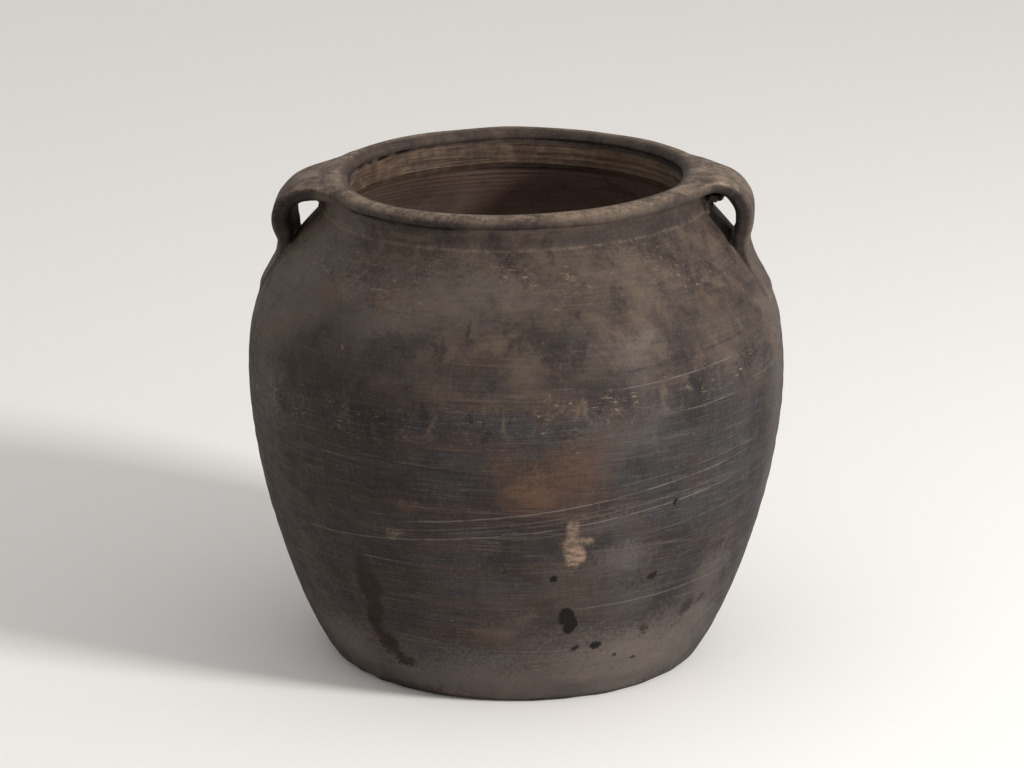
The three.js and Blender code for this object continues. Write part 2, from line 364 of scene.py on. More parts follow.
def base_disc():
    """The flat floor of the jar, with its worn outer edge."""
    angles = np.linspace(-math.pi / 2, 0, 7)
    edge = arc((FOOT_RADIUS - FOOT_CHAMFER, FOOT_CHAMFER), FOOT_CHAMFER, FOOT_CHAMFER, angles)
    side = rows_between(FOOT_CHAMFER, BASE_TOP, ROW)[1:]
    hub = 4 * MM
    under = np.column_stack([np.linspace(hub, FOOT_RADIUS - 2 * FOOT_CHAMFER, 20), np.zeros(20)])
    top = np.column_stack([np.linspace(inner_radius(BASE_TOP), hub, 30), np.full(30, BASE_TOP)])
    outline = np.vstack([under, edge, np.column_stack([outer_radius(side), side]), top])
    edge_normals = arc((0, 0), 1, 1, angles)
    normals = np.vstack([np.zeros_like(under), edge_normals, wall_normals(side, 1), np.zeros_like(top)])
    points = turned(outline, normals)
    ripple = 0.4 * MM * np.cos(2 * math.pi * outline[:, 0] / (13 * MM))
    rows = len(outline)
    points[:, :, 2] += (ripple * (np.arange(rows) > rows - len(top)))[:, None]
    all_points = np.vstack([points.reshape(-1, 3), [(0, 0, 0), (0, 0, BASE_TOP)]])
    faces = ring_faces(rows, False)
    low_hub = rows * TURN_STEPS
    last = low_hub - TURN_STEPS
    for step in range(TURN_STEPS):
        ahead = (step + 1) % TURN_STEPS
        faces.append((low_hub, ahead, step))
        faces.append((low_hub + 1, last + step, last + ahead))
    new_piece("base_disc", all_points, faces, "smoked_clay")


# ------------ fields for the handles

FIELD_STEP = 0.6 * MM
SKIN = 1.8 * MM  # how deep a handle's roots reach into the jar
SINK = 0.05 * MM  # how far a root's outer edge lies under the jar's surface
TOP_EDGE = 1.7 * MM  # radius of the strap's upper edges


def blend(first, second, reach):
    """The smaller of two distances, rounded where they are within `reach` of each other."""
    near = np.maximum(reach - np.abs(first - second), 0) / reach
    return np.minimum(first, second) - near * near * reach / 4


def distance_to_outline(points, outline):
    """Signed distance from points of (radius, height) to a closed section, negative in the clay."""
    ahead = np.roll(outline, -1, axis=0)
    nearest = np.full(len(points), np.inf)
    inside = np.zeros(len(points), bool)
    for start, end in zip(outline, ahead):
        edge = end - start
        offset = points - start
        along = np.clip(offset @ edge / max(edge @ edge, 1e-12), 0, 1)
        nearest = np.minimum(nearest, np.linalg.norm(offset - along[:, None] * edge, axis=1))
        if start[1] != end[1]:
            crosses = (start[1] > points[:, 1]) != (end[1] > points[:, 1])
            reach = start[0] + (points[:, 1] - start[1]) / edge[1] * edge[0]
            inside ^= crosses & (points[:, 0] < reach)
    return np.where(inside, -nearest, nearest)


class Map:
    """Values on a fine grid of (radius, height), read back anywhere on it by interpolation."""

    cell = 0.4 * MM

    def __init__(self, low, high, value):
        self.low = np.array(low)
        counts = np.ceil((np.array(high) - self.low) / self.cell).astype(int) + 1
        axes = [self.low[i] + self.cell * np.arange(counts[i]) for i in (0, 1)]
        radius, height = np.meshgrid(*axes, indexing="ij")
        flat = np.column_stack([radius.ravel(), height.ravel()])
        self.values = np.stack([v.reshape(counts) for v in value(flat)], axis=-1)

    def read(self, radius, height):
        last = np.array(self.values.shape[:2]) - 2
        place = [(radius - self.low[0]) / self.cell, (height - self.low[1]) / self.cell]
        cell = [np.clip(place[i].astype(int), 0, last[i]) for i in (0, 1)]
        part = [np.clip(place[i] - cell[i], 0, 1)[..., None] for i in (0, 1)]
        low, high = (self.along(cell, part[0], step) for step in (0, 1))
        return np.moveaxis(low * (1 - part[1]) + high * part[1], -1, 0)

    def along(self, cell, part, step):
        near = self.values[cell[0], cell[1] + step]
        far = self.values[cell[0] + 1, cell[1] + step]
        return near * (1 - part) + far * part


def catmull_rom(points, count):
    """A smooth line of `count` points through all the given ones."""
    points = np.vstack([2 * points[0] - points[1], points, 2 * points[-1] - points[-2]])
    along = np.linspace(0, len(points) - 3 - 1e-9, count)
    index = along.astype(int)
    part = (along - index)[:, None]
    a, b, c, d = (points[index + i] for i in range(4))
    square = (2 * a - 5 * b + 4 * c - d) * part**2
    cube = (3 * b - a - 3 * c + d) * part**3
    return 0.5 * (2 * b + (c - a) * part + square + cube)


def tongue(*proud):
    """The stations of a strap's tongue, whose outer face stands so far proud of the shoulder."""
    thickness = 4
    heights_and_widths = ((214, 43), (205, 42), (198, 37), (191, 28))
    stations = []
    for (height, width), clear in zip(heights_and_widths, proud):
        slope = float(wall_slope(height * MM))
        out = (clear - thickness / 2) / math.hypot(1, slope)
        radius = float(outer_radius(height * MM)) / MM + out
        stations.append((radius, height - slope * out, width, thickness))
    return stations


# The middle line of each strap, from inside the lip, out, down and along the shoulder, as
# (radius, height, width, thickness) in millimetres. The two were pulled by hand and differ a little.
STRAPS = {
    "left": [
        (92, 254.1, 86, 5.6),
        (99, 253.2, 68, 6),
        (106, 251.6, 54, 7.4),
        (113.2, 249.2, 47, 8),
        (119, 244.9, 44, 8.8),
        (121.8, 238.6, 43, 9),
        (121.8, 231.5, 42, 8.4),
        (121, 224, 42, 6.6),
        *tongue(1.9, 1.1, 0.8, -2.5),
    ],
    "right": [
        (92, 254.8, 80, 5.6),
        (99, 256, 67, 6.2),
        (106.5, 255.8, 55, 6.4),
        (112.8, 252.9, 47, 7),
        (117.4, 248.2, 44, 7.8),
        (120.2, 242, 43, 8.2),
        (120.2, 234, 42, 8),
        (119.4, 225, 42, 7),
        *tongue(2.2, 1.4, 1, -2.5),
    ],
}

# The box round a handle that its field fills, and the (radius, height) that the maps reach.
FIELD_LOW = np.array([85, -47, 186]) * MM
FIELD_HIGH = np.array([140, 47, 264]) * MM
MAP_LOW = (80 * MM, 180 * MM)
MAP_HIGH = (146 * MM, 268 * MM)


def jar_map():
    wall, _ = wall_section(150 * MM, COLLAR_FOOT_HEIGHT, ROW)
    outer_rows = len(wall) // 2
    outline = np.vstack([wall[:outer_rows], collar_outline()[1:-1], wall[outer_rows:]])
    return Map(MAP_LOW, MAP_HIGH, lambda points: [distance_to_outline(points, outline)])


def strap_map(which):
    """For each place in a handle's own plane: how far it lies outward of the strap's middle line,
    the strap's half width and half thickness there, and how far past the line's ends it is."""
    line = catmull_rom(np.array(STRAPS[which], float) * MM, 240)
    ahead = np.gradient(line[:, :2], axis=0)
    ahead /= np.linalg.norm(ahead, axis=1, keepdims=True)

    def values(points):
        gaps = points[:, None, :] - line[None, :, :2]
        nearest = np.argmin((gaps**2).sum(axis=2), axis=1)
        gap = gaps[np.arange(len(points)), nearest]
        tangent = ahead[nearest]
        out = gap[:, 0] * -tangent[:, 1] + gap[:, 1] * tangent[:, 0]
        past = np.abs((gap * tangent).sum(axis=1))
        beyond = np.where((nearest == 0) | (nearest == len(line) - 1), past, 0)
        return [out, line[nearest, 2] / 2, line[nearest, 3] / 2, beyond]

    return Map(MAP_LOW, MAP_HIGH, values)


def grain(points, seed, wavelength, count=18):
    """Smooth noise of about -1 to 1 in space."""
    draw = np.random.default_rng(seed)
    total = 0
    for _ in range(count):
        direction = draw.normal(size=3)
        wave = direction / np.linalg.norm(direction) * 2 * math.pi / wavelength * draw.uniform(0.5, 1)
        total = total + np.cos(points @ wave + draw.uniform(0, 2 * math.pi))
    return total * math.sqrt(0.5 / count)


class HandleField:
    """Distances on a grid round one handle, in the handle's own plane: x outward, y across, z up."""

    def __init__(self, which, azimuth, lean):
        self.azimuth = azimuth
        self.lean = lean
        self.seed = {"left": 44, "right": 45}[which]
        self.map = strap_map(which)
        axes = [np.arange(low, high, FIELD_STEP) for low, high in zip(FIELD_LOW, FIELD_HIGH)]
        self.points = np.stack(np.meshgrid(*axes, indexing="ij"), axis=-1)
        self.radius = np.hypot(self.points[..., 0], self.points[..., 1])
        self.around = np.arctan2(self.points[..., 1], self.points[..., 0])
        self.jar = self.jar_distance()
        self.strap = self.strap_distance()

    def jar_distance(self):
        z = self.points[..., 2]
        (plain,) = jar_map().read(self.radius, z)
        near = np.abs(plain) < 3 * MM
        plain[near] -= relief(self.around[near] + self.azimuth, self.radius[near], z[near])
        return plain

    def section(self, points):
        """Where points lie in the strap's own section, and the section's half sizes there."""
        x, y, z = np.moveaxis(points, -1, 0)
        hug = 1 - smoothstep(z, TONGUE_TOP, STRAP_FREE)
        radius = np.hypot(x, y)
        across = (1 - hug) * y + hug * np.arctan2(y, x) * radius
        outward = (1 - hug) * x + hug * radius
        lean = self.lean * smoothstep(x, 94 * MM, 108 * MM)
        out, half_width, half_thickness, beyond = self.map.read(outward, z - lean * across)
        return across, out, half_width, half_thickness, beyond

    def strap_distance(self):
        """A flat strap with sharp edges on top and round ones underneath."""
        across, out, half_width, half_thickness, beyond = self.section(self.points)
        crown = 0.16 * half_thickness * (1 - (across / half_width) ** 2)
        edge = np.where(out > 0, np.minimum(TOP_EDGE, half_thickness), 0.85 * half_thickness)
        past_side = np.abs(across) - (half_width - edge)
        past_face = np.hypot(out - 0.4 * crown, beyond) - (half_thickness - edge) - crown
        corner = np.hypot(np.maximum(past_side, 0), np.maximum(past_face, 0))
        within = np.minimum(np.maximum(past_side, past_face), 0)
        plain = corner + within - edge
        near = np.abs(plain) < 3 * MM
        lumps = self.points[near]
        plain[near] += 0.22 * MM * grain(lumps, self.seed, 16 * MM) + 0.08 * MM * grain(lumps, 61, 5 * MM)
        return plain

    def joined(self):
        """The strap grown together with the jar: rounded on top, tighter underneath."""
        low_end = 1 - smoothstep(self.points[..., 2], 212 * MM, 242 * MM)
        reach = 3.6 * MM - 2.3 * MM * low_end
        return blend(self.jar + SINK, self.strap, reach), reach

    def strap_painted_shade(self, points, upward):
        """1 on the sides and underside of the free strap, which get painted shade, and 0 on its top, where
        wear lightens it.
        Upward is how far each point's surface faces up, from -1 to 1."""
        _, out, _, half_thickness, _ = self.section(points)
        free = smoothstep(points[..., 0], 101 * MM, 105 * MM)
        sides = 1 - smoothstep(upward, -0.1, 0.4)
        return sides * free * (1 - smoothstep(out / half_thickness, 0.3, 0.8))

    def to_world(self, points):
        cos, sin = math.cos(self.azimuth), math.sin(self.azimuth)
        turn = np.array([[cos, -sin, 0], [sin, cos, 0], [0, 0, 1]])
        return settle(points @ turn.T)


def surface_of(field, low, step):
    """A closed mesh round the part of a grid where the field is negative: one point in each cell
    that the surface crosses, and one four-sided face on each grid edge that it crosses."""
    inside = field < 0
    cells = tuple(n - 1 for n in field.shape)
    total = np.zeros(cells + (3,))
    count = np.zeros(cells)
    corners = [np.array(c) for c in np.ndindex(2, 2, 2)]

    def at(values, corner):
        return values[tuple(slice(c, c + n) for c, n in zip(corner, cells))]

    for start in corners:
        for axis in range(3):
            if start[axis]:
                continue
            end = start.copy()
            end[axis] = 1
            first, second = at(field, start), at(field, end)
            crossed = at(inside, start) != at(inside, end)
            part = np.where(crossed, first / np.where(crossed, first - second, 1), 0)
            place = start + part[..., None] * (end - start)
            total += np.where(crossed[..., None], place, 0)
            count += crossed

    used = count > 0
    index = np.full(cells, -1)
    index[used] = np.arange(used.sum())
    points = low + step * (np.argwhere(used) + total[used] / count[used][:, None])

    faces = []
    for axis in range(3):
        one, two = (axis + 1) % 3, (axis + 2) % 3
        place = np.argwhere(inside != np.roll(inside, -1, axis=axis))
        place = place[(place < cells).all(axis=1) & (place[:, one] > 0) & (place[:, two] > 0)]
        back = np.eye(3, dtype=int)
        loop = [place, place - back[one], place - back[one] - back[two], place - back[two]]
        quads = np.stack([index[tuple(p.T)] for p in loop], axis=1)
        outward = inside[tuple(place.T)]
        quads[~outward] = quads[~outward][:, ::-1]
        faces += quads.tolist()
    return points, faces


def handle(which, azimuth, lean):
    field = HandleField(which, azimuth, lean)
    joined, reach = field.joined()
    height = field.points[..., 2]
    through_wall = middle_radius(height) - field.radius
    through_wall -= 20 * MM * smoothstep(height, TONGUE_TOP, STRAP_FREE)
    root = np.maximum.reduce([-(field.jar + SKIN), field.strap - reach, through_wall])
    points, faces = surface_of(np.maximum(joined, root), FIELD_LOW, FIELD_STEP)
    piece = new_piece(f"{which}_handle", field.to_world(points), faces, "rim_clay")
    upward = np.array([normal.vector.z for normal in piece.data.vertex_normals])
    # Painted shade on the free strap's sides and underside.
    mark(piece, "strap_painted_shade", field.strap_painted_shade(points, upward))
    radius = np.hypot(points[:, 0], points[:, 1])
    on_strap = smoothstep(radius, 93 * MM, 99 * MM) * smoothstep(points[:, 2], TONGUE_TOP, STRAP_FREE)
    most = 0.9 - 0.1 * math.cos(azimuth)  # the left strap, turned away from the key light, gets more painted light on top
    # Wear on the strap tops, which also lays painted light from above on their upward faces.
    strap_wear_and_top_light = most * smoothstep(upward, 0.2, 0.7) * on_strap
    mark(piece, "wear_and_top_light", np.maximum(lip_top_wear_and_light(radius, points[:, 2]), strap_wear_and_top_light))
    return field


def attached(field, core):
    """Takes away crumbs that hang together with none of the cells marked in core."""
    inside = field < 0
    reached = inside & core
    size = 0
    while reached.sum() > size:
        size = reached.sum()
        for axis in range(3):
            reached |= np.roll(reached, 1, axis) | np.roll(reached, -1, axis)
            reached &= inside
    return np.where(inside & ~reached, SINK, field)


def luting(which, field):
    """Rough clay pressed into the corner under the strap, along the neck and the strap's underside."""
    z = field.points[..., 2]
    half_span = math.radians(8.5)
    past_end = (field.around - np.clip(field.around, -half_span, half_span)) * field.radius
    on_neck = np.hypot(field.radius - 101 * MM, z - np.clip(z, 242 * MM, 248 * MM))
    under_strap = np.hypot(field.radius - np.clip(field.radius, 101 * MM, 108 * MM), z - 249 * MM)
    roll = np.hypot(np.minimum(on_neck - 0.4 * MM, under_strap), past_end) - 1.7 * MM
    core = roll < 0
    near = np.abs(roll) < 4 * MM
    lumps = field.points[near]
    roll[near] += 0.6 * MM * grain(lumps, 51, 5 * MM) + 0.7 * MM * grain(lumps, 52, 2.2 * MM)
    joined, _ = field.joined()
    reach = 1.6 * MM
    grown = blend(joined + SINK, roll, reach)
    root = np.maximum(-(np.minimum(field.jar, field.strap) + SKIN), roll - reach)
    rough = attached(np.maximum(grown, root), core)
    points, faces = surface_of(rough, FIELD_LOW, FIELD_STEP)
    piece = new_piece(f"{which}_handle_luting", field.to_world(points), faces, "luting_clay")
    mark(piece, "fresh", np.full(len(points), 0.6))


# ------------ materials


class Shader:
    """A material under construction. Its methods add nodes and return the last one's output."""

    def __init__(self, name):
        self.material = bpy.data.materials.new(name)
        self.material.use_nodes = True
        self.tree = self.material.node_tree
        self.tree.nodes.clear()

    def add(self, kind, inputs=None, **settings):
        """Adds a node. Each of its inputs is a constant or the output of another node."""
        node = self.tree.nodes.new(kind)
        for key, value in settings.items():
            setattr(node, key, value)
        for key, value in (inputs or {}).items():
            if isinstance(value, bpy.types.NodeSocket):
                self.tree.links.new(value, node.inputs[key])
            else:
                node.inputs[key].default_value = value
        return node

    def math(self, operation, *values):
        return self.add("ShaderNodeMath", dict(enumerate(values)), operation=operation).outputs[0]

    def times(self, first, *others):
        for other in others:
            first = self.math("MULTIPLY", first, other)
        return first

    def sum(self, first, *others):
        for other in others:
            first = self.math("ADD", first, other)
        return first

    def highest(self, masks):
        return functools.reduce(lambda first, second: self.math("MAXIMUM", first, second), masks)

    def stretch(self, vector, scale, lean=0.0):
        """Scales a position, after leaning it so that level marks climb to the right."""
        inputs = {"Vector": vector, "Scale": scale, "Rotation": (0, math.radians(lean), 0)}
        return self.add("ShaderNodeMapping", inputs).outputs[0]

    def noise(self, vector, scale, detail=3.0, roughness=0.55, distortion=0.0):
        inputs = {"Vector": vector, "Scale": scale, "Detail": detail, "Roughness": roughness}
        return self.add("ShaderNodeTexNoise", {**inputs, "Distortion": distortion}).outputs["Fac"]

    def ramp(self, value, low, high, start=0.0, end=1.0):
        inputs = dict(enumerate((value, low, high, start, end)))
        return self.add("ShaderNodeMapRange", inputs, interpolation_type="SMOOTHSTEP").outputs["Result"]

    def band(self, value, middle, half_width):
        """1 where the value is at the middle, and 0 a half width or more away."""
        return self.ramp(self.math("ABSOLUTE", self.sum(value, -middle)), 0, half_width, 1.0, 0.0)

    def attribute(self, name):
        return self.add("ShaderNodeAttribute", attribute_name=name).outputs["Fac"]

    def mix(self, factor, first, second):
        return self.add("ShaderNodeMix", {0: factor, 6: first, 7: second}, data_type="RGBA").outputs[2]

    def coats(self, color, *coats, within=None):
        """Lays coats over a colour, each given as (paint, value, low, high, strength). A coat fades
        in from where the value is low to where it is high, and keeps within a mask if there is one."""
        for paint, value, low, high, strength in coats:
            mask = self.ramp(value, low, high, 0.0, strength)
            color = self.mix(mask if within is None else self.times(mask, within), color, paint)
        return color

    def finish(self, principled_inputs):
        principled = self.add("ShaderNodeBsdfPrincipled", principled_inputs)
        self.add("ShaderNodeOutputMaterial", {"Surface": principled.outputs[0]})
        return self.material


def srgb(red, green, blue):
    """A display colour, as the linear colour that a shader takes."""

    def linear(part):
        part /= 255
        return part / 12.92 if part <= 0.04045 else ((part + 0.055) / 1.055) ** 2.4

    return (linear(red), linear(green), linear(blue), 1)


GREY_BLUE = srgb(51, 49, 51)
GREY_BROWN = srgb(60, 49, 45)
DARK = srgb(36, 30, 30)
SHOULDER_BROWN = srgb(68, 59, 53)
SHOULDER_TAN = srgb(88, 75, 64)
DUST = srgb(96, 87, 82)
# Rubbed clay colour, also laid on the tops of the lip and straps as painted light from above.
WORN_AND_TOP_LIT = srgb(130, 113, 98)
PALE_LINE = srgb(116, 109, 104)
# A sooty black, used for sooty marks and also as painted shade under the lip and on the straps' sides and
# undersides.
SOOT_AND_PAINTED_SHADE = srgb(30, 26, 27)
WET = srgb(14, 9, 8)
WET_BROWN = srgb(31, 19, 15)
TAN = srgb(134, 113, 95)
FLECK = srgb(122, 109, 92)
BLUSH = srgb(90, 66, 51)
INSIDE_BROWN = srgb(72, 56, 45)
INSIDE_GREY = srgb(106, 87, 79)
# Painted fill light for the shadowed right side of the inside.
INSIDE_PAINTED_FILL = srgb(162, 136, 124)
INSIDE_DARK = srgb(38, 28, 25)

SPOT_RADIUS = 0.92 * BELLY_RADIUS  # turns widths along the wall into angles

# Marks that fire, fingers and use left on the jar, as (degrees to the right of the front, height, half
# width, half height, lean, softness, strength), with the lengths in millimetres. A lean of 1 slants by
# 45 degrees.
SMUDGES = [
    (-29, 196, 15, 11, 0.2, 0.6, 0.6),
    (-22, 200, 8, 7, 0, 0.7, 0.5),
    (-17, 199, 3.6, 7.5, 0.1, 0.5, 0.6),
    (-10, 208, 1.6, 4, 0, 0.5, 0.6),
    (-45, 180, 30, 22, 0, 0.9, 0.45),
    (-36, 148, 30, 30, 0, 0.9, 0.4),
    (-42, 110, 26, 34, 0, 0.9, 0.3),
    (45, 235, 4, 2.5, 0, 0.6, 0.6),
    (38, 223, 3.6, 6, 0, 0.7, 0.5),
    (53, 227, 12, 7, 0, 0.8, 0.4),
    (38, 197, 11, 12, 0, 0.7, 0.6),
    (40, 172, 13, 16, 0, 0.9, 0.5),
    (47, 156, 12, 12, 0, 0.9, 0.4),
    (10, 203, 14, 7, 0, 0.9, 0.55),
    (18, 180, 12, 9, 0, 0.9, 0.4),
    (-53, 224, 2.5, 1.2, 0, 0.4, 0.7),
    (62, 196, 9, 12, 0, 0.8, 0.4),
    (38, 135, 16, 10, 0.3, 0.9, 0.3),
    (-23, 25, 15, 7, 0, 0.9, 0.3),
    (-34, 1, 44, 4, 0, 0.8, 0.6),
    (48, 2, 26, 5, 0, 0.8, 0.6),
]
# Painted shade on the neck just under the lip's roll, with the same columns as the marks above.
UNDER_LIP_PAINTED_SHADE = [
    (38, 248, 70, 6.5, 0, 0.5, 0.65),
    (-8, 248, 36, 6, 0, 0.6, 0.2),
    (-35, 250, 30, 3, 0, 0.6, 0.3),
    (150, 248, 60, 6, 0, 0.6, 0.5),
]
PALE_AREAS = [
    (-60, 218, 34, 24, 0, 0.9, 0.55),
    (-46, 222, 14, 8, 0, 0.9, 0.75),
    (-16, 224, 44, 13, 0, 0.8, 0.4),
    (26, 192, 8, 9, 0, 0.8, 0.4),
    (24, 160, 14, 14, 0, 0.9, 0.25),
    (-32, 206, 30, 16, 0, 0.9, 0.6),
    (-66, 160, 16, 30, 0, 0.9, 0.35),
    (30, 22, 66, 20, 0, 0.8, 0.85),
    (52, 34, 22, 20, 0, 0.9, 0.6),
    (28, 62, 14, 10, 0, 0.9, 0.3),
    (24, 86, 13, 10, 0.3, 0.9, 0.5),
    (20, 111, 13, 6, 0.3, 0.9, 0.3),
    (-8, 72, 14, 8, 0, 0.9, 0.15),
    (54, 65, 13, 14, 0, 0.9, 0.4),
    (-8, 16, 58, 14, 0, 0.9, 0.7),
    (-52, 20, 24, 15, 0, 0.9, 0.6),
    (76, 150, 12, 60, 0, 0.9, 0.3),
    (130, 120, 70, 30, 0.1, 0.9, 0.3),
    (-150, 60, 60, 30, 0, 0.9, 0.3),
    (170, 215, 60, 14, 0, 0.9, 0.3),
]
BROWN_AREAS = [
    (36, 230, 20, 7, 0, 0.8, 0.6),
    (30, 212, 5, 14, 0.1, 0.7, 0.5),
    (4, 222, 12, 10, 0, 0.9, 0.3),
    (-30, 216, 12, 8, 0, 0.9, 0.35),
    (-50, 216, 12, 8, 0, 0.9, 0.5),
    (2, 190, 8, 10, 0, 0.9, 0.3),
    (13, 70, 18, 16, 0, 0.9, 0.3),
    (-5, 46, 10, 4.5, -0.1, 0.5, 0.5),
    (2, 53, 9, 4, 0.8, 0.6, 0.45),
    (120, 205, 30, 20, 0, 0.9, 0.4),
    (-120, 190, 30, 24, 0, 0.9, 0.35),
]
WET_SPOTS = [
    (12.0, 55.5, 4.6, 4.8, 0, 0.16, 0.96),
    (13.4, 49.5, 3.4, 5.2, 0.1, 0.16, 0.96),
    (8.4, 78.1, 1.9, 1.9, 0, 0.25, 0.96),
    (15.2, 35.0, 2.4, 1.7, 0, 0.25, 0.9),
    (20.5, 36.0, 3.4, 2.3, 0, 0.2, 0.96),
    (32.7, 23.2, 1.6, 1.0, 0, 0.3, 0.9),
    (26.5, 27.0, 1.2, 1.0, 0, 0.3, 0.9),
    (35.7, 113.8, 1.3, 1.8, 0, 0.3, 0.9),
    (32.5, 74.0, 2.8, 2.4, 0.5, 0.3, 0.9),
    (151, 88, 3.0, 5.0, 0, 0.2, 0.9),
    (-118, 61, 2.2, 2.2, 0, 0.3, 0.9),
]
BROWN_SPOTS = [
    (-37.6, 76, 5, 6, 0.3, 0.5, 0.7),
    (-36.6, 67, 9, 9, 0, 0.4, 0.9),
    (-37, 50, 6.5, 15, 0.1, 0.35, 0.95),
    (-35, 33, 6, 8, -0.4, 0.35, 0.95),
    (-31.4, 23, 6.5, 4, -0.5, 0.3, 1),
    (33.7, 39.8, 3.2, 2.9, 0, 0.4, 0.8),
    (46.6, 46.6, 4.2, 5.8, 0.5, 0.4, 0.8),
    (51.3, 49.5, 2.6, 4.6, 0.5, 0.4, 0.8),
    (54, 84, 2, 2, 0, 0.5, 0.7),
    (-140, 150, 5, 14, 0.1, 0.5, 0.6),
]
BLUSHES = [
    (4, 128, 15, 12, 0, 0.8, 0.75),
    (12, 138, 14, 15, 0.2, 0.9, 0.6),
    (-2, 143, 10, 9, 0, 0.9, 0.4),
    (35.2, 176.7, 1.6, 1.2, 0, 0.4, 0.9),
    (-24, 118, 4, 4, 0, 0.9, 0.4),
    (50, 212, 6, 5, 0, 0.9, 0.4),
    (-49, 218, 7, 6, 0, 0.9, 0.5),
    (-33, 218, 4, 3, 0, 0.8, 0.5),
    (73, 178, 7, 7, 0, 0.9, 0.4),
    (-165, 120, 22, 14, 0, 0.9, 0.5),
]
TAN_SPOTS = [
    (12.3, 98.0, 4.6, 5.6, 0, 0.5, 0.75),
    (13.0, 90.5, 5.0, 4.8, 0, 0.4, 0.95),
    (12.2, 107, 3.4, 5.0, 0, 0.6, 0.6),
    (15.3, 99.8, 3.0, 2.2, 0, 0.5, 0.6),
    (-40, 193.5, 1.0, 1.0, 0, 0.4, 0.8),
    (14, 231, 3.4, 0.8, -0.3, 0.4, 0.6),
    (-27, 99, 3.6, 2.2, 0.3, 0.6, 0.45),
    (160, 182, 3.0, 4.0, 0, 0.5, 0.7),
]
# Thin pale lines that a finger left while the wheel turned, as (height at the front, climb in degrees,
# first and last degree to the right of the front, strength).
TURNING_LINES = [
    (115.2, 7.4, -30, 62, 0.6),
    (104.6, 7.0, -62, 60, 0.55),
    (110.4, 7.4, -34, 30, 0.25),
    (108.0, 7.2, -20, 56, 0.25),
    (101.5, 6.8, -10, 40, 0.2),
    (57.5, 3.2, 13, 64, 0.5),
    (84, 0, -38, -16, 0.4),
    (34.3, 0, -6, 14, 0.4),
    (138, 0, -56, -33, 0.35),
    (175.0, 4.2, 20, 54, 0.5),
    (159.5, 2.4, 30, 56, 0.4),
    (122.5, 6.0, 20, 66, 0.25),
    (92, 6.5, 24, 70, 0.25),
    (106, -5, 100, 178, 0.5),
    (124, -4, 110, 170, 0.3),
    (112, 7, -175, -90, 0.4),
]
# Where the potter's fingers pressed dark grooves while the wheel turned, as above.
DARK_LINES = [
    (136.0, -3.5, -32, -2, 0.9),
    (182.0, 5.0, 20, 62, 0.7),
    (150.0, 2.0, -22, 4, 0.5),
    (128, 4, -170, -110, 0.6),
]


